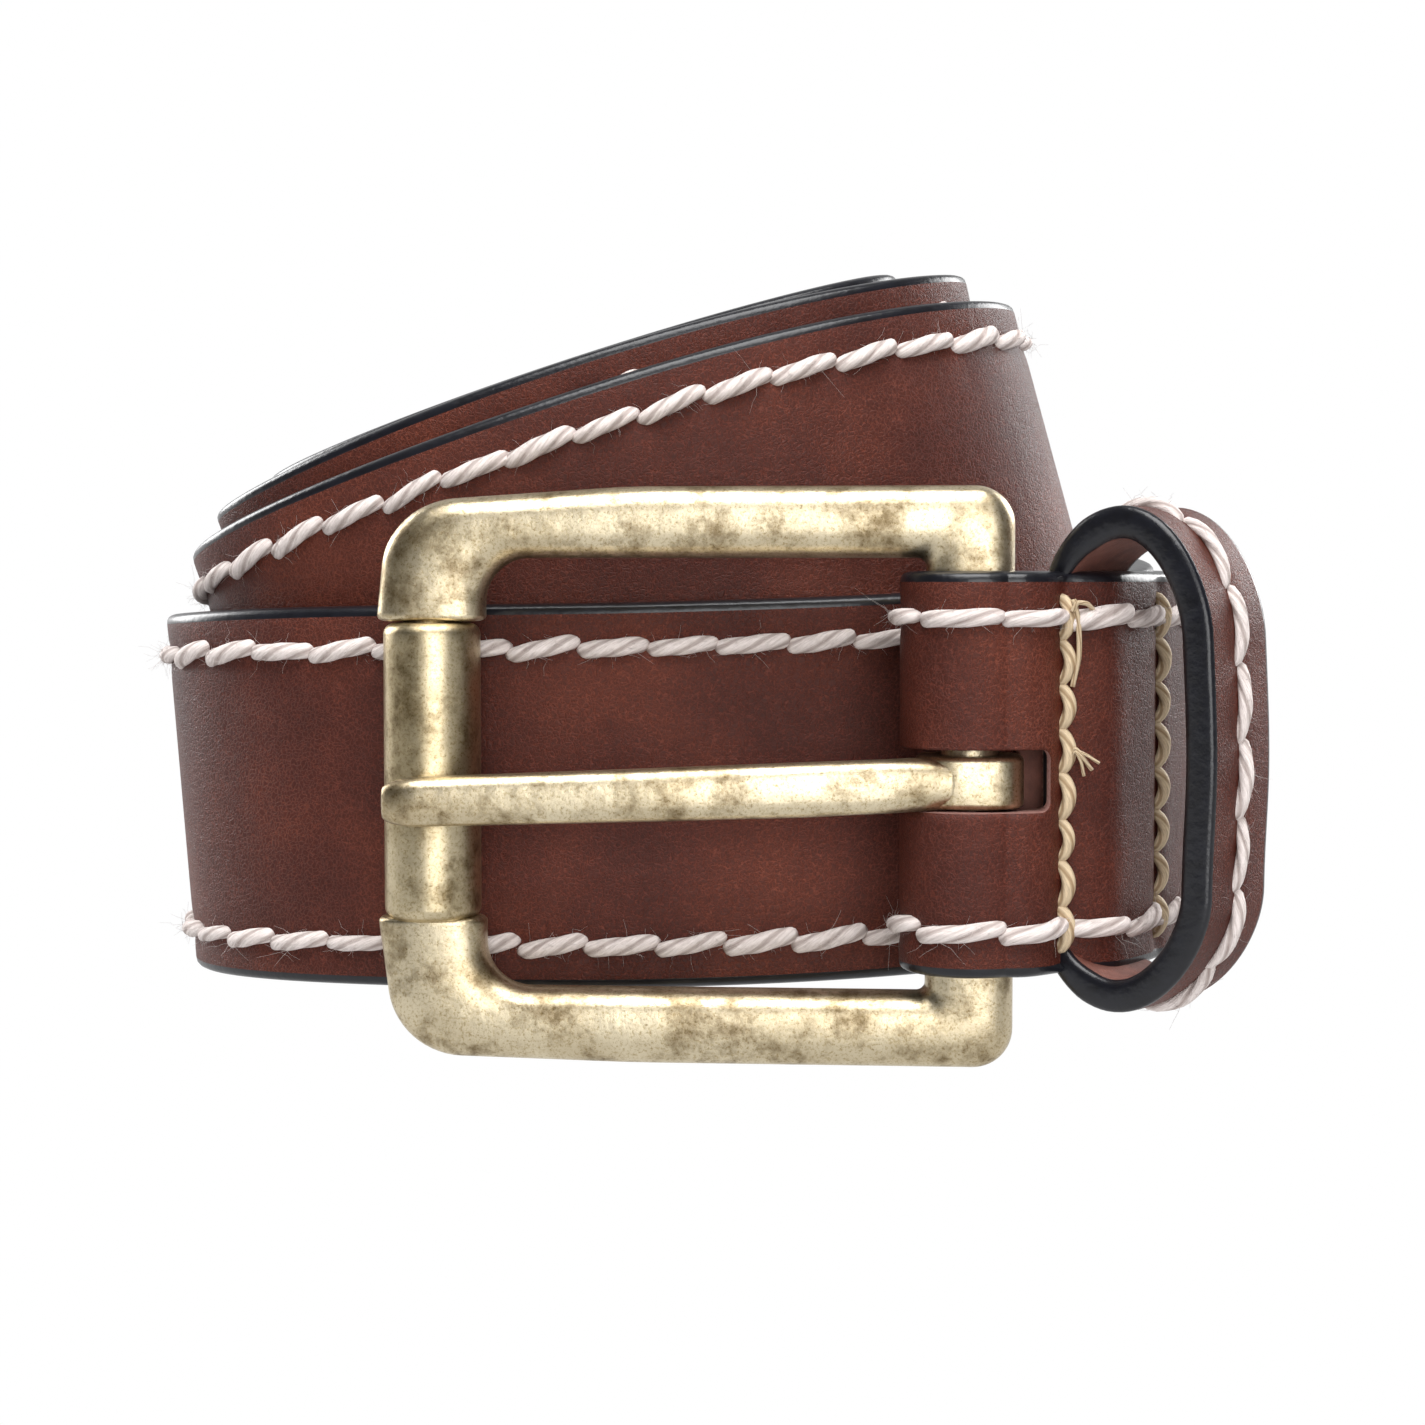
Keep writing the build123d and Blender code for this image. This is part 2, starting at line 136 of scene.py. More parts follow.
# Loose thread ends beside the bar: start along the run, then across, run and height stations, radius.
TAILS = [(0.5, (17.2, 15.0, 12.0, 8.6), (0.2, 0.9, 1.1, 0.6), (0.6, 0.9, 0.8, 0.1), 0.27),
         (0.0, (1.6, 2.5, 1.6, 0.4), (0.0, 0.9, 2.0, 3.1), (0.2, 0.9, 1.3, 1.0), 0.20),
         (0.0, (1.4, 2.2, 1.3, -0.2), (0.0, 0.8, 1.7, 2.3), (0.2, 1.0, 1.2, 0.9), 0.17),
         (0.1, (1.5, 2.3, 1.9, 1.1), (0.0, 1.0, 2.2, 3.4), (0.2, 0.8, 1.5, 1.8), 0.16),
         (0.2, (16.0, 16.9, 16.8, 16.0), (-0.4, 0.6, 2.0, 3.2), (0.9, 1.4, 1.3, 0.7), 0.24)]

# The keeper's loop seen along the strap: out of the face, up, heading.
KEEPER_LOOP = [(11.1, -11.0, 90), (11.5, 1.2, 90), (11.0, 13.5, 93), (2.6, 24.75, 180), (-4.95, 17.5, 270),
               (-4.95, -15.5, 270), (2.0, -21.7, 0)]

TABLE_GLOW = 0.85
ROOM_GLOW = 0.07
BACKDROP_GLOW = 0.7
# Lamps: name, place in metres, sides, watts.
LAMPS = [("left_box", (-0.70, 0.52, 0.30), (0.5, 0.5), 7),
         ("right_box", (0.70, 0.56, 0.32), (0.5, 0.5), 7),
         ("top_box", (0.0, -0.22, 0.72), (0.6, 0.6), 8.5),
         ("front_box", (0.17, -0.95, 0.26), (0.62, 0.62), 5.5)]
LAMPS_AIM = (0.0, 0.0, 0.04)
CAMERA_AT = (0.0, -261.95, 19.1)
CAMERA_PITCH = 2.89
LENS = 66.35
SENSOR = 36.0

joints = {joint["name"]: joint for joint in frame["record"]["behaviour"]["joints"]}
BAR_AT = np.array(joints["buckle_swing"]["pos_m"])
UP = np.array(joints["buckle_swing"]["axis"]) / np.linalg.norm(joints["buckle_swing"]["axis"])
SIDE = np.array([1.0, 0.0, 0.0])
BACKWARD = np.cross(UP, SIDE)


def standing(points):
    """Belt-frame millimetres to the row frame in metres: leaned back with the pivot bar."""
    local = np.asarray(points, float) - [BAR_X, 0, 0]
    return BAR_AT + (local @ np.stack([SIDE, BACKWARD, UP])) / 1000


# ---- the strap's route ----
def smooth_through(xs, ys, x):
    """Cubic through the stations that never overshoots: slopes are weighted harmonic means."""
    gap = np.diff(xs)
    rise = np.diff(ys) / gap
    same_way = rise[:-1] * rise[1:] > 0
    before = 2 * gap[1:] + gap[:-1]
    after = gap[1:] + 2 * gap[:-1]
    safe = np.where(same_way, rise[:-1], 1.0), np.where(same_way, rise[1:], 1.0)
    inner = np.where(same_way, (before + after) / (before / safe[0] + after / safe[1]), 0.0)
    slope = np.concatenate([[rise[0]], inner, [rise[-1]]])
    i = np.clip(np.searchsorted(xs, x) - 1, 0, len(xs) - 2)
    t = (x - xs[i]) / gap[i]
    return (ys[i] * (1 + 2 * t) * (1 - t) ** 2 + slope[i] * gap[i] * t * (1 - t) ** 2
            + ys[i + 1] * t * t * (3 - 2 * t) + slope[i + 1] * gap[i] * t * t * (t - 1))


def plan_curve(stations, count=24):
    """Cubic arcs in plan from station to station, leaving and arriving at their headings."""
    table = np.array(stations)
    start, end = table[:-1, None, :2], table[1:, None, :2]
    chord = np.linalg.norm(end - start, axis=2, keepdims=True)
    way = np.stack([np.cos(np.radians(table[:, 2])), np.sin(np.radians(table[:, 2]))], 1)
    leave, arrive = way[:-1, None] * chord, way[1:, None] * chord
    t = np.linspace(0, 1, count, endpoint=False)[None, :, None]
    points = (start * (1 + 2 * t) * (1 - t) ** 2 + leave * t * (1 - t) ** 2
              + end * t * t * (3 - 2 * t) + arrive * t * t * (t - 1))
    return points.reshape(-1, 2)


def strap_route():
    """Middle line, width direction and run length: end layer, fold, front layer, coil."""
    around = np.radians(np.arange(FOLD_START, FOLD_END, 6.0))
    wrap = np.stack([BAR_X + FOLD_RADIUS * np.cos(around), FOLD_RADIUS * np.sin(around)], 1)
    meet = (wrap[0, 0], wrap[0, 1], FOLD_START + 90)
    leave = (wrap[-1, 0], wrap[-1, 1], math.degrees(around[-1]) - 270)
    plan = np.concatenate([plan_curve(BACK_LAYER + [meet]), wrap[:-1], plan_curve([leave] + FRONT_LAYER)])
    table = np.array(COIL)
    angle = np.arange(0, table[-1, 0] + 0.1, 2.0)
    tilt, lift, centre, wide, deep = (smooth_through(table[:, 0], table[:, k], angle) for k in range(1, 6))
    turn, tilt = np.radians(angle), np.radians(tilt)
    along = centre + wide * np.cos(turn)
    turns = np.stack([along * np.cos(tilt) - lift * np.sin(tilt), COIL_Y + deep * np.sin(turn),
                      along * np.sin(tilt) + lift * np.cos(tilt)], 1)
    turn_width = np.stack([-np.sin(tilt), 0 * tilt, np.cos(tilt)], 1)
    line = np.concatenate([np.column_stack([plan, np.zeros(len(plan))]), turns])
    width_way = np.concatenate([np.tile([0.0, 0.0, 1.0], (len(plan), 1)), turn_width])
    run = np.concatenate([[0], np.cumsum(np.linalg.norm(np.diff(line, axis=0), axis=1))])
    return line, width_way, run


LINE, WIDTH_WAY, RUN = strap_route()
LENGTH = RUN[-1]


def blend_along(values, places):
    """Values kept along the route, read at any run length."""
    return np.stack([np.interp(places, RUN, values[:, k]) for k in range(3)], -1)


def on_strap(places, across_by, outward_by):
    """Points at a run length, an offset across the width and one out of the face."""
    at = blend_along(LINE, places)
    across = blend_along(WIDTH_WAY, places)
    outward = np.cross(blend_along(LINE, places + 0.5) - blend_along(LINE, places - 0.5), across)
    outward /= np.linalg.norm(outward, axis=-1, keepdims=True)
    return at + across * across_by[..., None] + outward * outward_by[..., None]


def half_width_at(places):
    """Constant half-width that narrows along a quarter ellipse to the blunt point."""
    into = np.clip((places - (LENGTH - POINT_LENGTH)) / POINT_LENGTH, 0, 1)
    return POINT_END_HALF + (HALF_WIDTH - POINT_END_HALF) * np.sqrt(1 - into ** 2 * 0.999)


def run_near(station, first, last):
    """Run length, between two others, at which the strap passes a station."""
    x, y = station[:2]
    places = np.arange(first, last, 0.1)
    at = blend_along(LINE, places)
    return float(places[np.argmin(np.hypot(at[:, 0] - x, at[:, 1] - y))])


BACK_LAYER_RUN = (0, 30)
FRONT_LAYER_RUN = (30, 100)
ROW_BY_BAR = run_near(FRONT_LAYER[1], *FRONT_LAYER_RUN)
ROW_BY_KEEPER = run_near(FRONT_LAYER[3], *FRONT_LAYER_RUN)
ROW_BY_BAR_BACK = run_near(BACK_LAYER[3], *BACK_LAYER_RUN)
ROW_BY_KEEPER_BACK = run_near(BACK_LAYER[1], *BACK_LAYER_RUN)


# ---- meshes ----
def put_mesh(name, points, quads, corner_uv, materials, which=None):
    """A mesh from arrays of vertices and quads, smooth, closed where its ends come together."""
    mesh = bpy.data.meshes.new(name)
    mesh.vertices.add(len(points))
    mesh.vertices.foreach_set("co", standing(points).astype(np.float32).ravel())
    mesh.loops.add(quads.size)
    mesh.loops.foreach_set("vertex_index", quads.astype(np.int32).ravel())
    mesh.polygons.add(len(quads))
    mesh.polygons.foreach_set("loop_start", np.arange(0, quads.size, 4, dtype=np.int32))
    for material in materials:
        mesh.materials.append(material)
    if which is not None:
        mesh.polygons.foreach_set("material_index", which.astype(np.int32))
    layer = mesh.uv_layers.new(name="run")
    layer.data.foreach_set("uv", corner_uv.astype(np.float32).ravel())
    mesh.update(calc_edges=True)
    work = bmesh.new()
    work.from_mesh(mesh)
    bmesh.ops.remove_doubles(work, verts=work.verts, dist=1e-7)
    bmesh.ops.dissolve_degenerate(work, edges=work.edges, dist=1e-8)
    bmesh.ops.recalc_face_normals(work, faces=work.faces)
    work.to_mesh(mesh)
    work.free()
    mesh.polygons.foreach_set("use_smooth", np.ones(len(mesh.polygons), dtype=bool))
    piece = bpy.data.objects.new(name, mesh)
    bpy.context.scene.collection.objects.link(piece)
    return piece


def ring_quads(count, rows, cols, close_rows=False):
    """Quads of `count` tubes of `rows` rings with `cols` points each, closed round the ring."""
    row = np.arange(rows if close_rows else rows - 1)
    i, j = np.meshgrid(row, np.arange(cols), indexing="ij")
    after, beside = (i + 1) % rows, (j + 1) % cols
    one = np.stack([i * cols + j, i * cols + beside, after * cols + beside, after * cols + j], -1)
    one = one.reshape(-1, 4)
    whole = (one[None] + (np.arange(count) * rows * cols)[:, None, None]).reshape(-1, 4)
    return whole, i.reshape(-1), j.reshape(-1)


def round_steps(count):
    """Even steps from 0 to 1 round a closed ring, without its last point."""
    return np.arange(count) / count


def pinched(rings):
    """Rings with both ends of each tube drawn together to a point, which put_mesh merges."""
    first, last = rings[:, :1], rings[:, -1:]
    near, far = first.mean(2, keepdims=True), last.mean(2, keepdims=True)
    return np.concatenate([near + (first - near) * 1e-6, rings, far + (last - far) * 1e-6], 1)


def with_ends(steps):
    """Steps along each tube with the first and last repeated for its pinched ends."""
    return np.pad(steps, ((0, 0), (1, 1)), mode="edge")


def tubes(name, rings, along, around, materials, which=None, close_rows=False):
    """Rings of points, shaped (tube, ring, point, 3), skinned with quads; UV is (along, around)."""
    count, rows, cols = rings.shape[:3]
    quads, i, j = ring_quads(count, rows, cols, close_rows)
    far = np.append(along, along[..., -1:] + (along[..., 1] - along[..., 0])[..., None], -1)
    far = np.broadcast_to(far, (count, rows + 1))
    around = np.append(around, 2 * around[-1] - around[-2])
    u = np.stack([far[:, i], far[:, i], far[:, i + 1], far[:, i + 1]], -1).reshape(-1, 4)
    v = np.tile(np.stack([around[j], around[j + 1], around[j + 1], around[j]], -1), (count, 1))
    which = None if which is None else np.tile(which[j], count)
    return put_mesh(name, rings.reshape(-1, 3), quads, np.stack([u, v], -1), materials, which)


def apply_modifiers(piece):
    """Keeps the piece's mesh as its modifiers leave it."""
    graph = bpy.context.evaluated_depsgraph_get()
    solid = bpy.data.meshes.new_from_object(piece.evaluated_get(graph), depsgraph=graph)
    piece.modifiers.clear()
    piece.data = solid


# ---- materials ----
def linear(code, alpha=1.0):
    """sRGB hex to the linear colour that a shader takes."""
    values = [int(code[k:k + 2], 16) / 255 for k in (1, 3, 5)]
    return [v / 12.92 if v <= 0.04045 else ((v + 0.055) / 1.055) ** 2.4 for v in values] + [alpha]


def node(tree, kind, settings=None, **links):
    """Adds a node, sets its properties and socket values, and links the sockets that are given."""
    made = tree.nodes.new(kind)
    for key, value in (settings or {}).items():
        if key in made.inputs:
            made.inputs[key].default_value = value
        else:
            setattr(made, key, value)
    for key, source in links.items():
        tree.links.new(source, made.inputs[int(key[1:]) if key[1:].isdigit() else key.replace("_", " ")])
    return made


def new_material(name):
    """Material, its node tree and its shader."""
    material = bpy.data.materials.new(name)
    material.use_nodes = True
    return material, material.node_tree, material.node_tree.nodes["Principled BSDF"]


def ramp(tree, source, stops):
    """Colour ramp with (place, hex) stops."""
    made = node(tree, "ShaderNodeValToRGB", _0=source)
    bar = made.color_ramp.elements
    while len(bar) < len(stops):
        bar.new(0.5)
    for element, (place, code) in zip(bar, stops):
        element.position = place
        element.color = linear(code)
    return made.outputs["Color"]


def millimetres(tree):
    """Object coordinates in millimetres, so that a scale of 1 is one cell each millimetre."""
    where = node(tree, "ShaderNodeTexCoord").outputs["Object"]
    return node(tree, "ShaderNodeVectorMath", {"operation": "SCALE", "Scale": 1000.0}, _0=where).outputs[0]


def noise(tree, where, per_mm, detail=4.0, rough=0.55):
    """Noise with about per_mm lumps in each millimetre."""
    settings = {"Scale": per_mm, "Detail": detail, "Roughness": rough}
    return node(tree, "ShaderNodeTexNoise", settings, Vector=where).outputs["Fac"]


def bump(tree, strength, depth_mm, height, over=None):
    """Bump of a height field, laid over another bump if one is given."""
    made = node(tree, "ShaderNodeBump", {"Strength": strength, "Distance": depth_mm / 1000}, Height=height)
    if over is not None:
        tree.links.new(over, made.inputs["Normal"])
    return made.outputs[0]


def grain_leather():
    """Waxed full-grain leather: creases half a millimetre apart under fine specks and wide clouds."""
    material, tree, shader = new_material("waxed_full_grain_leather")
    where = millimetres(tree)
    bent = node(tree, "ShaderNodeTexNoise", {"Scale": 0.9, "Detail": 2.0}, Vector=where).outputs["Color"]
    shifted = node(tree, "ShaderNodeVectorMath", {"operation": "MULTIPLY_ADD"}, _0=bent, _2=where)
    shifted.inputs[1].default_value = (1.4, 1.4, 1.4)
    cells = node(tree, "ShaderNodeTexVoronoi", {"feature": "DISTANCE_TO_EDGE", "Scale": 2.1},
                 Vector=shifted.outputs[0]).outputs["Distance"]
    crease = node(tree, "ShaderNodeMapRange", {"From Max": 0.14, "interpolation_type": "SMOOTHSTEP"},
                  Value=cells).outputs[0]
    fine = noise(tree, where, 3.6, 6.0, 0.75)
    broad = noise(tree, where, 0.05, 4.0)
    colour = ramp(tree, broad, [(0.30, "#58291f"), (0.50, "#6e372a"), (0.72, "#884835")])
    specks = ramp(tree, fine, [(0.32, "#5e443b"), (0.50, "#c2b0a6"), (0.66, "#ffffff")])
    mixed = mix_colour(tree, colour, specks, 0.65)
    lines = ramp(tree, crease, [(0.0, "#ffffff"), (0.45, "#b9a79f"), (1.0, "#a08c83")])
    mixed = mix_colour(tree, mixed, lines, 0.7)
    tree.links.new(mixed, shader.inputs["Base Color"])
    gloss = node(tree, "ShaderNodeMapRange", {"To Min": 0.38, "To Max": 0.58}, Value=fine)
    tree.links.new(gloss.outputs[0], shader.inputs["Roughness"])
    shader.inputs["Specular IOR Level"].default_value = 0.24
    low = bump(tree, 0.45, 0.14, crease)
    high = bump(tree, 0.5, 0.14, fine, low)
    wide = bump(tree, 0.3, 0.5, noise(tree, where, 0.35, 2.0), high)
    tree.links.new(wide, shader.inputs["Normal"])
    return material


def mix_colour(tree, first, second, amount):
    """Second multiplied over first by a fixed amount."""
    made = tree.nodes.new("ShaderNodeMixRGB")
    made.blend_type = "MULTIPLY"
    made.inputs[0].default_value = amount
    tree.links.new(first, made.inputs[1])
    tree.links.new(second, made.inputs[2])
    return made.outputs[0]


def edge_paint():
    """Blue-black acrylic edge paint, rubbed smooth over the crowned edge, with slight waves."""
    material, tree, shader = new_material("black_edge_paint")
    where = millimetres(tree)
    colour = ramp(tree, noise(tree, where, 0.6, 4.0), [(0.3, "#0b0b10"), (0.7, "#15161d")])
    tree.links.new(colour, shader.inputs["Base Color"])
    shader.inputs["Roughness"].default_value = 0.3
    tree.links.new(bump(tree, 0.3, 0.2, noise(tree, where, 1.1, 3.0)), shader.inputs["Normal"])
    return material


def raw_leather():
    """Cut leather: pinkish fibres with no finish on them."""
    material, tree, shader = new_material("cut_leather_edge")
    where = millimetres(tree)
    colour = ramp(tree, noise(tree, where, 2.4, 6.0, 0.7), [(0.3, "#6f443c"), (0.7, "#a98178")])
    tree.links.new(colour, shader.inputs["Base Color"])
    shader.inputs["Roughness"].default_value = 0.9
    tree.links.new(bump(tree, 0.8, 0.3, noise(tree, where, 3.0, 6.0, 0.7)), shader.inputs["Normal"])
    return material


def lining_leather():
    """Smooth vegetable-tanned lining: matt, slightly fibrous, a little paler than the face."""
    material, tree, shader = new_material("vegetable_tanned_lining")
    where = millimetres(tree)
    colour = ramp(tree, noise(tree, where, 0.5, 6.0, 0.6), [(0.3, "#5a332a"), (0.7, "#7a4a3d")])
    tree.links.new(colour, shader.inputs["Base Color"])
    shader.inputs["Roughness"].default_value = 0.68
    tree.links.new(bump(tree, 0.4, 0.2, noise(tree, where, 1.8, 6.0, 0.7)), shader.inputs["Normal"])
    return material


def twisted_thread(name, dark, pale, roughness, groove_strength):
    """Plied thread: UV is (mm along, turns round), so plies and fibres both wind along it; the grooves
    between plies get the darker colour as painted shade.
    """
    material, tree, shader = new_material(name)
    where = node(tree, "ShaderNodeUVMap", {"uv_map": "run"}).outputs[0]
    split = node(tree, "ShaderNodeSeparateXYZ", _0=where)
    turns = scaled(tree, split.outputs[0], TWISTS_PER_MM)
    phase = node(tree, "ShaderNodeMath", {"operation": "ADD"}, _0=turns, _1=split.outputs[1]).outputs[0]
    wave = node(tree, "ShaderNodeMath", {"operation": "COSINE"}, _0=scaled(tree, phase, 2 * math.pi * PLIES))
    groove = node(tree, "ShaderNodeMapRange", {"From Min": -1.0, "From Max": 0.1},
                  Value=wave.outputs[0]).outputs[0]
    fibre_at = node(tree, "ShaderNodeCombineXYZ", _0=scaled(tree, split.outputs[0], 0.5),
                    _1=scaled(tree, phase, 14.0)).outputs[0]
    fibres = noise(tree, fibre_at, 1.6, 6.0, 0.7)
    # Painted shade: the first colour fills the grooves between the plies, where the cord's swell dips.
    colour = ramp(tree, groove, [(0.0, dark), (0.6, pale)])
    tint = ramp(tree, fibres, [(0.30, "#9c8e88"), (0.58, "#ffffff")])
    tree.links.new(mix_colour(tree, colour, tint, 0.6), shader.inputs["Base Color"])
    shader.inputs["Roughness"].default_value = roughness
    low = bump(tree, groove_strength, 0.2, groove)
    tree.links.new(bump(tree, 0.7, 0.15, fibres, low), shader.inputs["Normal"])
    shader.inputs["Specular IOR Level"].default_value = 0.25
    return material


def scaled(tree, source, factor):
    """A value times a fixed number."""
    made = node(tree, "ShaderNodeMath", {"operation": "MULTIPLY"}, _0=source)
    made.inputs[1].default_value = factor
    return made.outputs[0]


def antique_brass(name, pale, mid, dark):
    """Cast zinc plated with brass, browned and rubbed back: brown pits and clouds under pale highs."""
    material, tree, shader = new_material(name)
    where = millimetres(tree)
    cloud = noise(tree, where, 0.12, 4.0, 0.6)
    grit = noise(tree, where, 3.4, 6.0, 0.75)
    patch = noise(tree, where, 0.24, 7.0, 0.72)
    colour = ramp(tree, cloud, [(0.35, mid), (0.60, pale)])
    pits = ramp(tree, grit, [(0.26, dark), (0.39, "#d6ccb6"), (0.50, "#ffffff")])
    worn = ramp(tree, patch, [(0.33, "#84745a"), (0.50, "#ffffff")])
    colour = mix_colour(tree, mix_colour(tree, colour, pits, 0.9), worn, 0.75)
    tree.links.new(colour, shader.inputs["Base Color"])
    shader.inputs["Metallic"].default_value = 1.0
    rubbed = {"From Min": 0.3, "From Max": 0.6, "To Min": 0.42, "To Max": 0.30}
    gloss = node(tree, "ShaderNodeMapRange", rubbed, Value=patch)
    tree.links.new(gloss.outputs[0], shader.inputs["Roughness"])
    low = bump(tree, 0.22, 0.12, grit)
    high = bump(tree, 0.2, 0.6, noise(tree, where, 0.25, 3.0), low)
    tree.links.new(high, shader.inputs["Normal"])
    return material


GRAIN = grain_leather()
EDGE = edge_paint()
RAW = raw_leather()
LINING = lining_leather()
# Each thread's first colour is painted shade for the grooves between its plies.
COTTON = twisted_thread("twisted_cotton_thread", "#b8aaa5", "#e9dfdb", 0.95, 0.5)
WAXED = twisted_thread("waxed_linen_thread", "#a88d6c", "#dcc7a6", 0.5, 0.35)
BRASS = antique_brass("antique_plated_brass", "#dccfb2", "#bbab8b", "#4a3b28")
ROLLER_BRASS = antique_brass("antique_brass_tube", "#d2c4a4", "#ac9c7a", "#3d3120")
STRAP_LAYERS = [GRAIN, EDGE, LINING, RAW]
CUT_FACE = STRAP_LAYERS.index(RAW)


# ---- strap ----
def section(face_points, edge_points, lining_points, half, crown, thick):
    """Closed leather section: flat faces and an edge crowned as a squashed ellipse.

    Across is x, out of the face is y; returns them with the material of each span.
    """
    flat = half - crown
    face = np.stack([np.linspace(-flat, flat, face_points), np.full(face_points, thick)], 1)
    turn = np.linspace(0, math.pi, edge_points + 2)[1:-1]
    rise = np.cos(turn)
    edge = np.stack([flat + crown * np.abs(np.sin(turn)) ** 0.7,
                     thick * np.sign(rise) * np.abs(rise) ** 0.7], 1)
    back = np.stack([np.linspace(flat, -flat, lining_points), np.full(lining_points, -thick)], 1)
    left = edge[::-1] * [-1, 1]
    which = np.concatenate([np.zeros(face_points - 1), np.ones(edge_points + 1),
                            np.full(lining_points - 1, 2), np.ones(edge_points + 1)])
    return np.concatenate([face, edge, back, left]), which


def strap():
    """The section carried along the route, sunk 0.2 mm along each row and 0.6 mm at holes and seams."""
    coil_from = 72
    places = np.concatenate([np.arange(0, coil_from, 0.5), np.arange(coil_from, LENGTH - POINT_LENGTH, 1.3),
                             LENGTH - POINT_LENGTH * (1 - np.sin(np.linspace(0, math.pi / 2, 40)))])
    outline, which = section(43, 9, 15, HALF_WIDTH, EDGE_CROWN, HALF_THICKNESS)
    across = outline[None, :, 0] * (half_width_at(places) / HALF_WIDTH)[:, None]
    out = np.tile(outline[:, 1], (len(places), 1))
    skin = HALF_THICKNESS * 0.98
    row = np.abs(np.abs(outline[None, :, 0]) - (HALF_WIDTH - STITCH_INSET))
    hole = np.abs((places / STITCH_PITCH) % 1 - 0.5)[:, None] * 2
    channel = 0.22 * np.exp(-(row / 1.3) ** 2) + 0.35 * np.exp(-(row / 1.0) ** 2) * hole ** 6
    out = out - np.sign(out) * channel * (np.abs(out) > skin)
    seams = np.array([ROW_BY_BAR, ROW_BY_KEEPER])
    dip = np.exp(-((places[:, None] - seams[None]) / 1.3) ** 2).sum(1)[:, None]
    out = out - 0.55 * dip * (outline[None, :, 1] > skin)
    rings = pinched(on_strap(places[:, None], across, out)[None])
    steps = np.linspace(0, 1, len(outline))
    piece = tubes("strap_leather", rings, with_ends(places[None])[0], steps, STRAP_LAYERS, which)
    cut_openings(piece)
    return piece


def slot_cutter(name, right, front, back):
    """Upright-sided block with rounded right corners, as wide as the slot."""
    turn = np.linspace(0, math.pi / 2, 9)
    left = BAR_X - FOLD_RADIUS - 4.0
    corner_x = right - SLOT_CORNER * (1 - np.cos(turn))
    corner_z = SLOT_HALF_HEIGHT - SLOT_CORNER * (1 - np.sin(turn))
    x = np.concatenate([[left], corner_x[::-1], corner_x, [left]])
    z = SLOT_Z + np.concatenate([[-SLOT_HALF_HEIGHT], -corner_z[::-1], corner_z, [SLOT_HALF_HEIGHT]])
    ends = np.stack([np.stack([x, np.full(len(x), y), z], 1) for y in (front, back)])
    return tubes(name, pinched(ends[None]), np.arange(4.0), np.arange(len(x)) * 1.0, STRAP_LAYERS,
                 np.full(len(x), CUT_FACE))


def cut_openings(piece):
    """Cuts the prong's slot and the punched holes through the strap."""
    cutters = [slot_cutter("slot_front", SLOT_RIGHT, -8.6, 0.0),
               slot_cutter("slot_back", SLOT_BACK_RIGHT, -0.5, 8.2)]
    holes = LENGTH - FIRST_HOLE_FROM_TIP - np.arange(HOLE_COUNT) * HOLE_PITCH
    turn = 2 * math.pi * round_steps(24)
    both_sides = np.ones((1, 2, 1))
    rim_run = (holes[:, None, None] + HOLE_RADIUS * np.cos(turn)) * both_sides
    rim_across = HOLE_RADIUS * np.sin(turn) + 0 * rim_run
    reach = HALF_THICKNESS + 0.35
    depth = np.array([-reach, reach])[None, :, None] + 0 * rim_run
    rims = pinched(on_strap(rim_run, rim_across, depth))
    cutters.append(tubes("punch_cutter", rims, np.arange(4.0), np.arange(24.0), STRAP_LAYERS,
                         np.full(24, CUT_FACE)))
    for cutter in cutters:
        bite = piece.modifiers.new("bite", "BOOLEAN")
        bite.operation = "DIFFERENCE"
        bite.solver = "EXACT"
        bite.object = cutter
        apply_modifiers(piece)
        bpy.data.objects.remove(cutter)


# ---- threads ----
def cord_rings(centres, outward, radius, around, lobes, lengths):
    """Tube about each centre line; its radius swells in three plies that wind along the cord."""
    ahead = np.gradient(centres, axis=1)
    ahead /= np.linalg.norm(ahead, axis=-1, keepdims=True)
    beside = np.cross(ahead, outward)
    beside /= np.linalg.norm(beside, axis=-1, keepdims=True)
    above = np.cross(beside, ahead)
    angle = math.pi * (1 + 2 * round_steps(around))
    wind = 2 * math.pi * lengths[..., None] * TWISTS_PER_MM
    swell = 1 + lobes * np.cos(PLIES * (angle - math.pi + wind))
    size = radius[..., None] * swell
    return pinched(centres[:, :, None] + above[:, :, None] * (size * np.cos(angle))[..., None]
                   + beside[:, :, None] * (size * np.sin(angle))[..., None])


def laid_stitch(count, rings, length, dive, lift, rng, radius):
    """Run offset, height and radius along a stitch: it rises out of one hole and dives into the next."""
    t = np.linspace(0, 1, rings)[None]
    bow = np.sin(math.pi * t) ** 0.42
    run = (t - 0.5) * length * (1 + 0.03 * rng.standard_normal((count, 1)))
    height = -dive + (dive + lift) * bow
    size = radius * (0.78 + 0.22 * bow) * (1 + 0.06 * rng.standard_normal((count, 1)))
    return t, run, height, size


def edge_stitches(name, side_out, first, last, rings, around, seed):
    """Both edge rows on one side of the strap, each stitch slanting a little across its row."""
    rng = np.random.default_rng(seed)
    starts = np.arange(math.ceil(first / STITCH_PITCH), math.floor(last / STITCH_PITCH)) + 0.5
    spots = np.repeat(starts * STITCH_PITCH, 2)
    rows = np.tile([-1.0, 1.0], len(starts))
    inset = np.maximum(half_width_at(spots) - STITCH_INSET, 1.2)
    radius = CORD_RADIUS * 1.1
    t, run, height, size = laid_stitch(len(spots), rings, STITCH_LENGTH, 0.9, 0.5, rng, radius)
    slant = math.tan(math.radians(STITCH_SLANT)) * (1 + 0.35 * rng.standard_normal((len(spots), 1)))
    places = spots[:, None] + run
    across = (rows * inset)[:, None] + run * slant
    out = side_out * (HALF_THICKNESS - 0.12 + height)
    centres = on_strap(places, across, out)
    outward = on_strap(places, across, out + side_out) - centres
    rings_at = cord_rings(centres, outward, size, around, 0.055, places)
    piece = tubes(name, rings_at, with_ends(places), round_steps(around), [COTTON])
    return piece, centres, outward, size


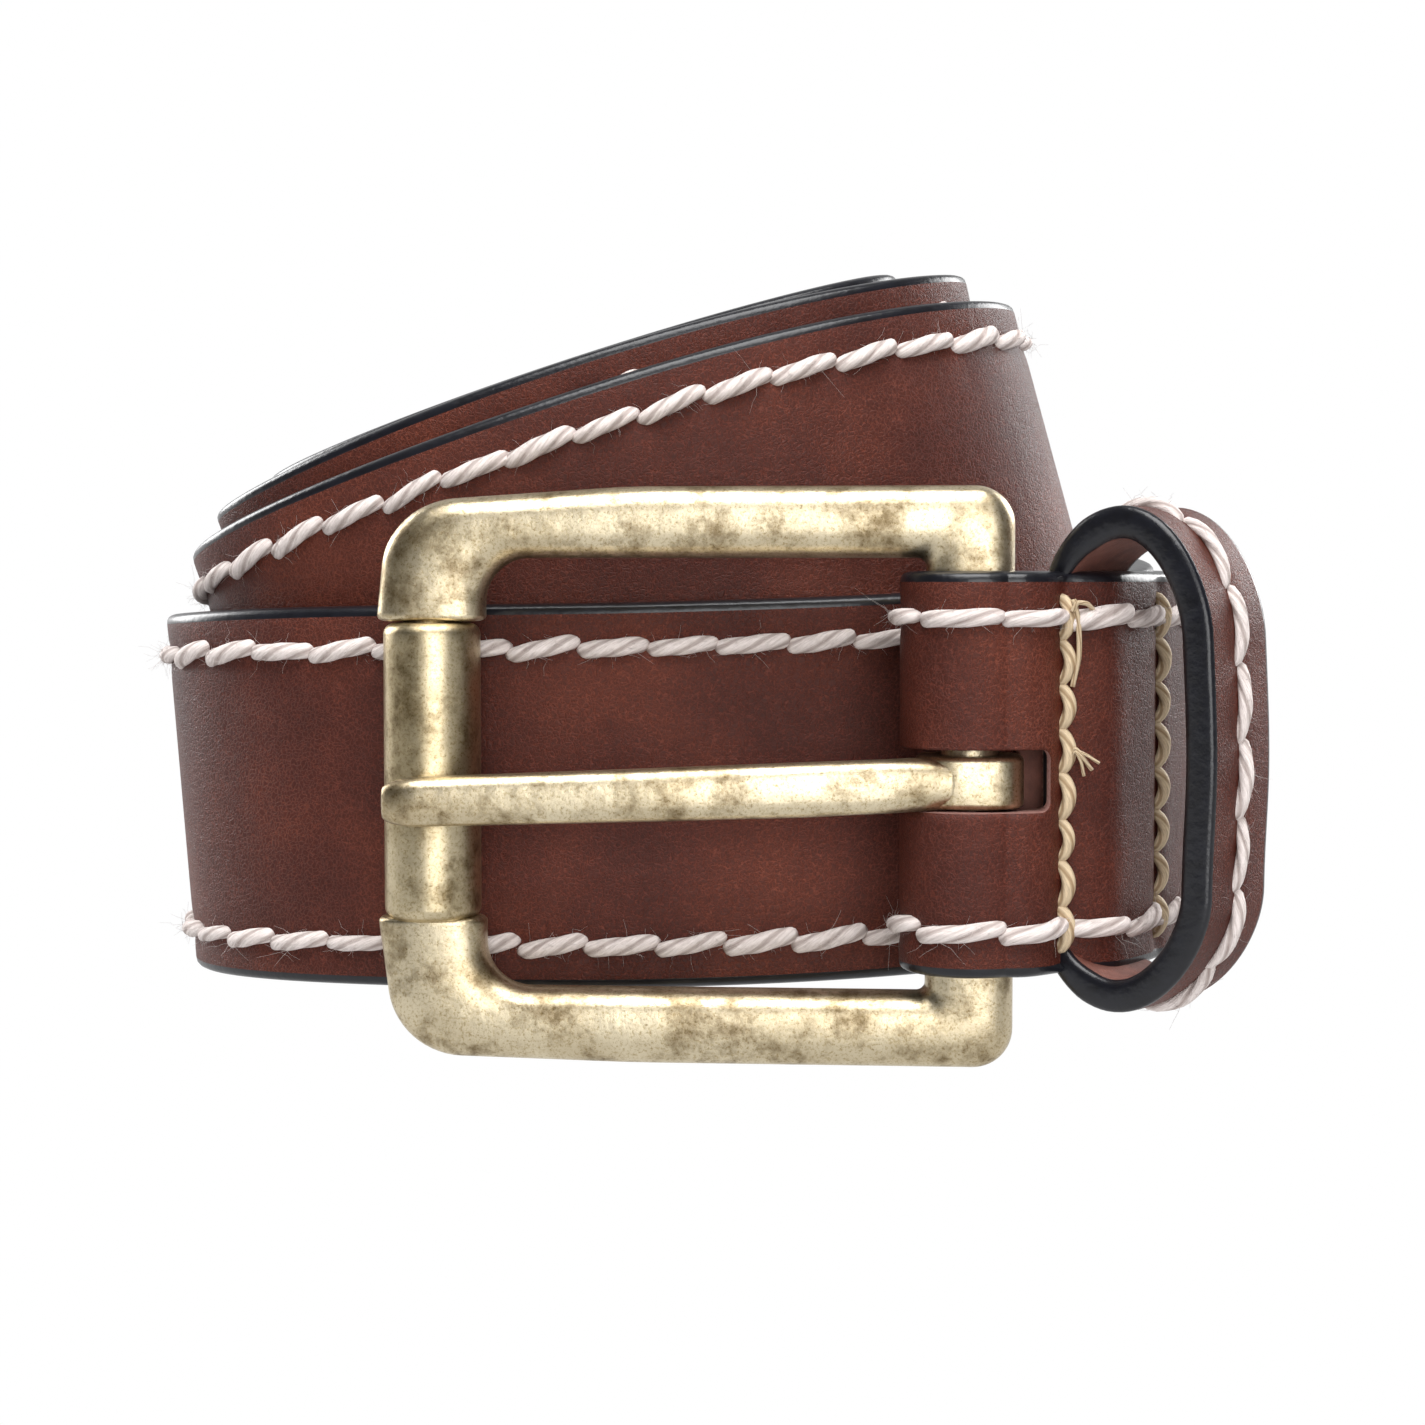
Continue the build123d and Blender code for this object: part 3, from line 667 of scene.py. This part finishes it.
def thread_fuzz(name, centres, outward, size, per_stitch, seed):
    """Loose cotton hairs: thin three-sided spines that leave the cord and curl."""
    rng = np.random.default_rng(seed)
    count = len(centres) * per_stitch
    which = rng.integers(0, len(centres), count)
    ring = rng.integers(2, centres.shape[1] - 2, count)
    root = centres[which, ring]
    up = outward[which, ring]
    ahead = centres[which, ring + 1] - centres[which, ring - 1]
    ahead /= np.linalg.norm(ahead, axis=-1, keepdims=True)
    beside = np.cross(ahead, up)
    angle = rng.uniform(-1.5, 1.5, (count, 1))
    way = up * np.cos(angle) + beside * np.sin(angle)
    lean = ahead * rng.normal(0, 1.2, (count, 1))
    curl = rng.normal(0, 1.0, (count, 3))
    wave = rng.normal(0, 0.4, (count, 3))
    length = rng.uniform(0.3, 1.2, (count, 1))
    t = np.linspace(0, 1, 5)[None, :, None]
    start = root + 0.7 * way * size[which, ring][:, None]
    bend = (0.6 * way + lean)[:, None] * t + curl[:, None] * t ** 2 + wave[:, None] * np.sin(9 * t) * t
    line = start[:, None] + bend * length[:, None]
    above_floor = standing(line)[..., 2].min(1) > HAIR_CLEARANCE / 1000
    line, beside, length = line[above_floor], beside[above_floor], length[above_floor]
    thick = HAIR_RADIUS * (1 - 0.6 * t[..., 0]) * np.ones((len(line), 1))
    rings = cord_rings(line, beside[:, None] + 0 * line, thick, 3, 0.0, t[..., 0] * length)
    return tubes(name, rings, with_ends(t[..., 0])[0], round_steps(3), [COTTON])


def seam_stitches(name, front, back, seed):
    """A waxed seam across the doubled strap: eight stitches in each outside, pulled into a groove."""
    rng = np.random.default_rng(seed)
    spots = np.repeat([front, back], SEAM_COUNT)
    across_mid = np.tile((np.arange(SEAM_COUNT) - (SEAM_COUNT - 1) / 2) * SEAM_PITCH, 2)
    t, run, height, size = laid_stitch(len(spots), 13, SEAM_STITCH_LENGTH, 0.9, 0.45, rng, SEAM_RADIUS)
    places = spots[:, None] + 0.75 * np.sin(math.pi * t) - 0.2
    across = across_mid[:, None] + run
    out = HALF_THICKNESS - 0.25 + height
    centres = on_strap(places, across, out)
    outward = on_strap(places, across, out + 1.0) - centres
    rings = cord_rings(centres, outward, size, 14, 0.03, run)
    return tubes(name, rings, with_ends(run), round_steps(14), [WAXED])


def loose_tails(name):
    """Ends of the waxed thread beside the bar: one down the row, three splayed, one short."""
    count = 24
    t = np.linspace(0, 1, count)
    paths = []
    for start, across, runs, outs, radius in TAILS:
        mark = np.linspace(0, 1, len(across))
        places = ROW_BY_BAR + start + smooth_through(mark, np.array(runs), t)
        width = smooth_through(mark, np.array(across), t)
        out = HALF_THICKNESS + smooth_through(mark, np.array(outs), t)
        paths.append((places, width, out, np.full(count, radius)))
    places, width, out, size = (np.stack([path[k] for path in paths]) for k in range(4))
    centres = on_strap(places, width, out)
    outward = on_strap(places, width, out + 1.0) - centres
    steps = 6 * t + 0 * places
    rings = cord_rings(centres, outward, size, 10, 0.0, steps)
    return tubes(name, rings, with_ends(steps), round_steps(10), [WAXED])


# ---- keeper ----
def closed_loop(stations, spacing=0.6):
    """Closed line through stations with headings, sampled evenly by length."""
    path = plan_curve(stations + stations[:1])
    path = np.concatenate([path, path[:1]])
    far = np.concatenate([[0], np.cumsum(np.linalg.norm(np.diff(path, axis=0), axis=1))])
    along = np.linspace(0, far[-1], int(far[-1] / spacing), endpoint=False)
    return np.stack([np.interp(along, far, path[:, k]) for k in range(2)], 1), along, far[-1]


def keeper_place(x, y, lengthwise):
    """Loop coordinates to the belt frame: x out of the strap, y up it, lengthwise along it."""
    heading = math.radians(KEEPER_HEADING)
    along = np.array([math.cos(heading), math.sin(heading), 0])
    out = np.array([math.sin(heading), -math.cos(heading), 0])
    foot = np.array([*KEEPER_FOOT, 0])
    return foot + x[..., None] * out + y[..., None] * np.array([0, 0, 1.0]) + lengthwise[..., None] * along


def loop_frame():
    """The keeper's loop with its outward normals and run lengths."""
    path, along, total = closed_loop(KEEPER_LOOP)
    ahead = np.roll(path, -1, 0) - np.roll(path, 1, 0)
    ahead /= np.linalg.norm(ahead, axis=1, keepdims=True)
    return path, np.stack([ahead[:, 1], -ahead[:, 0]], 1), along, total


def keeper():
    """The leather section carried round the loop, skived thin between the strap's layers."""
    path, normal, along, _ = loop_frame()
    outline, which = section(19, 9, 9, KEEPER_HALF_WIDTH, KEEPER_CROWN, KEEPER_THICKNESS / 2)
    out = outline[:, 1] - 0.3 * np.exp(-(outline[:, 0] / 1.2) ** 2) * (outline[:, 1] > 1.5)
    out = out * np.interp(path[:, 0], [-5.0, -1.0], [0.68, 1.0])[:, None]
    x = path[:, None, 0] + normal[:, None, 0] * out
    y = path[:, None, 1] + normal[:, None, 1] * out
    rings = keeper_place(x, y, outline[None, :, 0] + 0 * x)
    return tubes("keeper_leather", rings[None], along, np.linspace(0, 1, len(outline)), [GRAIN, EDGE, LINING],
                 which, close_rows=True)


def keeper_stitches():
    """One row of cotton stitches down the middle of the keeper's outside, in front of the strap."""
    rng = np.random.default_rng(31)
    path, normal, along, total = loop_frame()
    count = round(total / STITCH_PITCH)
    pitch = total / count
    spots = (np.arange(count) + 0.5) * pitch
    t, run, height, size = laid_stitch(count, 13, pitch + 0.3, 0.8, 0.55, rng, CORD_RADIUS * 0.86)
    far = (spots[:, None] + run) % total
    at = np.stack([np.interp(far, along, path[:, k], period=total) for k in range(2)], -1)
    way = np.stack([np.interp(far, along, normal[:, k], period=total) for k in range(2)], -1)
    rise = KEEPER_THICKNESS / 2 - 0.2 + height
    slant = run * math.tan(math.radians(KEEPER_STITCH_SLANT))
    keep = at[:, 6, 0] > 2.0  # not where the keeper passes behind the strap's front layer
    surface = at + way * rise[..., None]
    above = surface + way
    centres = keeper_place(surface[..., 0], surface[..., 1], slant)[keep]
    outward = keeper_place(above[..., 0], above[..., 1], slant)[keep] - centres
    rings = cord_rings(centres, outward, size[keep], 16, 0.055, far[keep])
    steps = with_ends((spots[:, None] + run)[keep])
    piece = tubes("keeper_stitches", rings, steps, round_steps(16), [COTTON])
    return piece, centres, outward, size[keep]


# ---- buckle ----
def buckle_place(points):
    """Buckle coordinates, about the pivot bar, to the belt frame: swung back a few degrees."""
    swing = math.radians(-FRAME_SWING)
    points = np.asarray(points, float)
    x = points[..., 0] * math.cos(swing) - points[..., 1] * math.sin(swing)
    y = points[..., 0] * math.sin(swing) + points[..., 1] * math.cos(swing)
    return np.stack([x + BAR_X, y, points[..., 2]], -1)


def eased(corners, radii, arc=14, straight=16):
    """Polyline with rounded corners, the same number of samples on each run and arc."""
    corners = np.array(corners, float)
    pieces = []
    last = corners[0]
    for k in range(1, len(corners) - 1):
        back = corners[k - 1] - corners[k]
        on = corners[k + 1] - corners[k]
        back, on = back / np.linalg.norm(back), on / np.linalg.norm(on)
        half_turn = math.acos(np.clip(back @ on, -1, 1)) / 2
        cut = radii[k - 1] / math.tan(half_turn)
        centre = corners[k] + (back + on) / np.linalg.norm(back + on) * radii[k - 1] / math.sin(half_turn)
        start, end = corners[k] + back * cut, corners[k] + on * cut
        pieces.append(last + (start - last) * np.linspace(0, 1, straight, endpoint=False)[:, None])
        a, b = start - centre, end - centre
        sweep = math.acos(np.clip(a @ b / np.linalg.norm(a) / np.linalg.norm(b), -1, 1))
        t = np.linspace(0, 1, arc, endpoint=False)[:, None]
        pieces.append(centre + (a * np.sin((1 - t) * sweep) + b * np.sin(t * sweep)) / math.sin(sweep))
        last = end
    pieces.append(last + (corners[-1] - last) * np.linspace(0, 1, straight)[:, None])
    return np.concatenate(pieces)


def frame_half(name, sizes, upright):
    """Side bar, corner and stub: a rounded section spanning from the inner outline to the outer."""
    opening, edge, left, fall = sizes
    start = PIVOT_HALF_LENGTH - 2.4
    outer = eased([(BAR_HALF_WIDTH, start), (BAR_HALF_WIDTH, edge), (left, edge), (STUB_LEFT, STUB_END)],
                  [4.0, 7.5])
    inner = eased([(-BAR_HALF_WIDTH, start), (-BAR_HALF_WIDTH, opening), (STUB_RIGHT, opening),
                   (STUB_RIGHT, STUB_END)], [0.9, 4.5])
    towards_corner = np.clip((-34 - outer[:, 0]) / 20, 0, 1)
    outer[:, 1] -= fall * towards_corner * np.clip((outer[:, 1] - STUB_END) / 10, 0, 1)
    middle, reach = (outer + inner) / 2, (outer - inner) / 2
    turn = 2 * math.pi * round_steps(40)
    wide, deep = squarish(turn, 2 / 2.7)
    x = middle[:, None, 0] + reach[:, None, 0] * wide
    z = middle[:, None, 1] + reach[:, None, 1] * wide
    rings = np.stack([x, np.broadcast_to(BAR_HALF_DEPTH * deep, x.shape), z], -1)
    last = rings[-1]
    centre = last.mean(0)
    soft = np.sin(np.linspace(0, math.pi / 2, 6))[1:]
    caps = [centre + (last - centre) * (1 - 0.16 * (1 - math.sqrt(1 - s * s))) + [0, 0, -STUB_CAP * s]
            for s in soft]
    rings = buckle_place(pinched(np.concatenate([rings, np.array(caps)])[None]) * [1, 1, upright])
    return tubes(name, rings, np.arange(rings.shape[1]) * 1.0, round_steps(40), [BRASS])


def squarish(turn, power):
    """Cosine and sine flattened towards a square: a section with soft corners."""
    wide, deep = np.cos(turn), np.sin(turn)
    return np.sign(wide) * np.abs(wide) ** power, np.sign(deep) * np.abs(deep) ** power


def turned(name, x, z_mid, profile, material, close=False):
    """Lathe shape about an upright axis: (radius, height) profile turned round it."""
    profile = np.array(profile, float)
    turn = 2 * math.pi * round_steps(72)
    rings = np.stack([x + profile[:, None, 0] * np.cos(turn), profile[:, None, 0] * np.sin(turn),
                      z_mid + profile[:, None, 1] + 0 * turn], -1)
    return tubes(name, buckle_place(rings)[None], np.arange(len(rings)) * 1.0, round_steps(72), [material],
                 close_rows=close)


def rod(name, x, radius, half_length):
    """Plain round bar about an upright axis, closed at both ends."""
    profile = [(0.001, -half_length), (radius, -half_length), (radius, half_length), (0.001, half_length)]
    return turned(name, x, 0.0, profile, BRASS)


def rolled_tube():
    """Outside with rounded ends, and the bore through it."""
    turn = np.linspace(0, math.pi / 2, 9)
    flat = ROLLER_HALF_LENGTH - ROLLER_ROUNDING
    up = np.stack([ROLLER_RADIUS - ROLLER_ROUNDING + ROLLER_ROUNDING * np.cos(turn),
                   flat + ROLLER_ROUNDING * np.sin(turn)], 1)
    down = up[::-1] * [1, -1]
    lengths = np.linspace(-flat, flat, 25)[1:-1]
    wall = np.stack([np.full(len(lengths), ROLLER_RADIUS), lengths], 1)
    mouth = ROLLER_HALF_LENGTH - 0.3
    bore = np.array([(ROLLER_BORE + 0.25, ROLLER_HALF_LENGTH), (ROLLER_BORE, mouth), (ROLLER_BORE, -mouth),
                     (ROLLER_BORE + 0.25, -ROLLER_HALF_LENGTH)])
    profile = np.concatenate([down, wall, up, bore])
    return turned("buckle_roller", ROLLER_X, ROLLER_Z, profile, ROLLER_BRASS, close=True)


def prong():
    """Tongue of softened square section along a line that rises off the pivot bar's eye."""
    tip = PRONG_TIP_START + PRONG_TIP_LENGTH * np.sin(np.linspace(0.05, math.pi / 2, 12))
    far = np.concatenate([np.linspace(1.0, PRONG_TIP_START, 60), tip])
    front = np.interp(far, [0, 3, 8, 16, 30, 58], [-5.0, -5.7, -7.0, -8.5, -9.3, -9.35])
    back = np.interp(far, [0, 3, 8, 16, 44, 58], [3.4, 0.5, -2.8, -4.3, -5.3, -5.3])
    into = np.clip((far - PRONG_TIP_START) / PRONG_TIP_LENGTH, 0, 1)
    tipped = np.sqrt(1 - into ** 2 * 0.995)
    half = PRONG_HALF_HEIGHT * (0.55 + 0.45 * tipped) * np.interp(far, [0, 16, 58], [1.0, 1.04, 0.94])
    depth = (back - front) / 2 * (0.35 + 0.65 * tipped)
    mid = (front + back) / 2 + (1 - tipped) * 0.2
    fore, up = squarish(2 * math.pi * round_steps(32), 0.62)
    y = mid[:, None] - depth[:, None] * fore
    z = half[:, None] * up - PRONG_FALL_PER_MM * far[:, None] + PRONG_Z
    rings = np.stack([np.broadcast_to(-far[:, None], y.shape), y, z], -1)
    rings = buckle_place(pinched(rings[None]))
    return tubes("buckle_prong", rings, np.arange(rings.shape[1]) * 1.0, round_steps(32), [BRASS])


def prong_eye():
    """The prong bent round the pivot bar: squared outside, round inside, softened at its rims."""
    rim = np.linspace(0, math.pi / 2, 7)
    flat = np.array([PRONG_EYE_RADIUS, PRONG_EYE_HALF]) - PRONG_EYE_ROUNDING
    up = flat + PRONG_EYE_ROUNDING * np.stack([np.cos(rim), np.sin(rim)], 1)
    bore = PIVOT_RADIUS + 0.1
    profile = np.concatenate([up[::-1] * [1, -1], up, [(bore, PRONG_EYE_HALF), (bore, -PRONG_EYE_HALF)]])
    turn = 2 * math.pi * round_steps(72)
    squared = (np.abs(np.cos(turn)) ** 3 + np.abs(np.sin(turn)) ** 3) ** (-1 / 3)
    radius = profile[:, :1] * np.where(profile[:, :1] > 4, squared, 1.0)
    rings = np.stack([radius * np.cos(turn), radius * np.sin(turn),
                      PRONG_Z + profile[:, 1:] + 0 * turn], -1)
    return tubes("prong_eye", buckle_place(rings)[None], np.arange(len(rings)) * 1.0, round_steps(72),
                 [BRASS], close_rows=True)


# ---- assembly ----
strap_piece = strap()
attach(strap_piece, "strap")
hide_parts("strap_face", "strap_lining")

last_stitch = LENGTH - LAST_STITCH_FROM_TIP
face_stitches, face_lines, face_out, face_size = edge_stitches(
    "edge_stitches", 1, FIRST_STITCH, last_stitch, 13, 15, 11)
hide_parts("edge_thread_face")
lining_stitches, *_ = edge_stitches("lining_stitches", -1, ROW_BY_KEEPER + 8, last_stitch, 7, 8, 12)
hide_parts("edge_thread_lining")
seam_by_bar = seam_stitches("seam_by_bar", ROW_BY_BAR, ROW_BY_BAR_BACK, 21)
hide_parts("seam_thread_beside_bar")
seam_by_keeper = seam_stitches("seam_by_keeper", ROW_BY_KEEPER, ROW_BY_KEEPER_BACK, 22)
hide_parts("seam_thread_beyond_keeper")
tails = loose_tails("loose_thread_ends")
keeper_piece = keeper()
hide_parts("keeper_face", "keeper_lining")
keeper_row, keeper_lines, keeper_out, keeper_size = keeper_stitches()
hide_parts("keeper_thread")
fuzz = thread_fuzz("thread_fuzz", face_lines[:FUZZY_STITCHES], face_out[:FUZZY_STITCHES],
                   face_size[:FUZZY_STITCHES], 26, 41)
keeper_fuzz = thread_fuzz("keeper_fuzz", keeper_lines, keeper_out, keeper_size, 10, 42)
for piece, finish in ((face_stitches, "cotton_thread"), (lining_stitches, "cotton_thread"),
                      (seam_by_bar, "waxed_thread"), (seam_by_keeper, "waxed_thread"),
                      (tails, "waxed_thread"), (keeper_piece, "grain_leather"), (keeper_row, "cotton_thread"),
                      (fuzz, "cotton_thread"), (keeper_fuzz, "cotton_thread")):
    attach(piece, "strap")

upper_bar = frame_half("buckle_upper_bar", UPPER_HALF, 1)
lower_bar = frame_half("buckle_lower_bar", LOWER_HALF, -1)
pivot_bar = rod("buckle_pivot_bar", 0.0, PIVOT_RADIUS, PIVOT_HALF_LENGTH)
neck = rod("roller_neck", ROLLER_X, NECK_RADIUS, NECK_HALF_LENGTH)
for piece in (upper_bar, lower_bar, pivot_bar, neck):
    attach(piece, "frame")
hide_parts("buckle_frame")
roller_piece = rolled_tube()
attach(roller_piece, "roller")
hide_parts("roller")
prong_piece = prong()
eye = prong_eye()
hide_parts("prong")
for piece in (prong_piece, eye):
    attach(piece, "prong")


# ---- stage ----
def seen_white(tree, strength):
    """Emission of 1 straight to the eye and of the given strength to the surfaces around."""
    path = node(tree, "ShaderNodeLightPath")
    return node(tree, "ShaderNodeMapRange", {"To Min": strength, "To Max": 1.0},
                Value=path.outputs["Is Camera Ray"]).outputs[0]


def white_floor():
    """A lit white table, pure white to the eye."""
    mesh = bpy.data.meshes.new("floor")
    mesh.from_pydata([(-3, -3, 0), (3, -3, 0), (3, 3, 0), (-3, 3, 0)], [], [(0, 1, 2, 3)])
    floor = bpy.data.objects.new("floor", mesh)
    bpy.context.scene.collection.objects.link(floor)
    white, tree, shader = new_material("lit_white_table")
    shader.inputs["Base Color"].default_value = linear("#000000")
    shader.inputs["Specular IOR Level"].default_value = 0.0
    shader.inputs["Emission Color"].default_value = linear("#ffffff")
    tree.links.new(seen_white(tree, TABLE_GLOW), shader.inputs["Emission Strength"])
    mesh.materials.append(white)


def white_room():
    """A white backdrop behind the belt and dim walls in front of it."""
    world = bpy.data.worlds.new("white_room")
    world.use_nodes = True
    back = world.node_tree.nodes["Background"]
    back.inputs["Color"].default_value = linear("#ffffff")
    tree = world.node_tree
    way = node(tree, "ShaderNodeTexCoord").outputs["Generated"]
    away = node(tree, "ShaderNodeSeparateXYZ", _0=way).outputs[1]
    glow = node(tree, "ShaderNodeMapRange", {"From Min": 0.35, "From Max": 0.85, "To Min": ROOM_GLOW,
                                             "To Max": BACKDROP_GLOW}, Value=away).outputs[0]
    seen = seen_white(tree, 0.0)
    tree.links.new(node(tree, "ShaderNodeMath", {"operation": "MAXIMUM"}, _0=glow, _1=seen).outputs[0],
                   back.inputs["Strength"])
    bpy.context.scene.world = world


def soft_boxes():
    """Large square lamps, all turned to the middle of the belt."""
    aim = np.array(LAMPS_AIM)
    for name, at, sides, power in LAMPS:
        data = bpy.data.lights.new(name, "AREA")
        data.shape = "RECTANGLE"
        data.size, data.size_y = sides
        data.energy = power
        lamp = bpy.data.objects.new(name, data)
        lamp.location = at
        lamp.rotation_euler = mathutils.Vector(aim - np.array(at)).to_track_quat("-Z", "Y").to_euler()
        bpy.context.scene.collection.objects.link(lamp)


def camera():
    """262 mm in front of the pivot bar's line, 19 mm above its middle, looking slightly down."""
    data = bpy.data.cameras.new("camera")
    data.sensor_width = SENSOR
    data.lens = LENS
    data.clip_start = 0.01
    pitch = math.radians(CAMERA_PITCH)
    ahead = BACKWARD * math.cos(pitch) - UP * math.sin(pitch)
    upward = UP * math.cos(pitch) + BACKWARD * math.sin(pitch)
    turn = mathutils.Matrix([SIDE, upward, -ahead]).transposed()
    lens = bpy.data.objects.new("camera", data)
    lens.matrix_world = mathutils.Matrix.Translation(standing(CAMERA_AT)) @ turn.to_4x4()
    bpy.context.scene.collection.objects.link(lens)
    bpy.context.scene.camera = lens


white_floor()
white_room()
soft_boxes()
camera()
bpy.context.scene.view_settings.view_transform = "Standard"
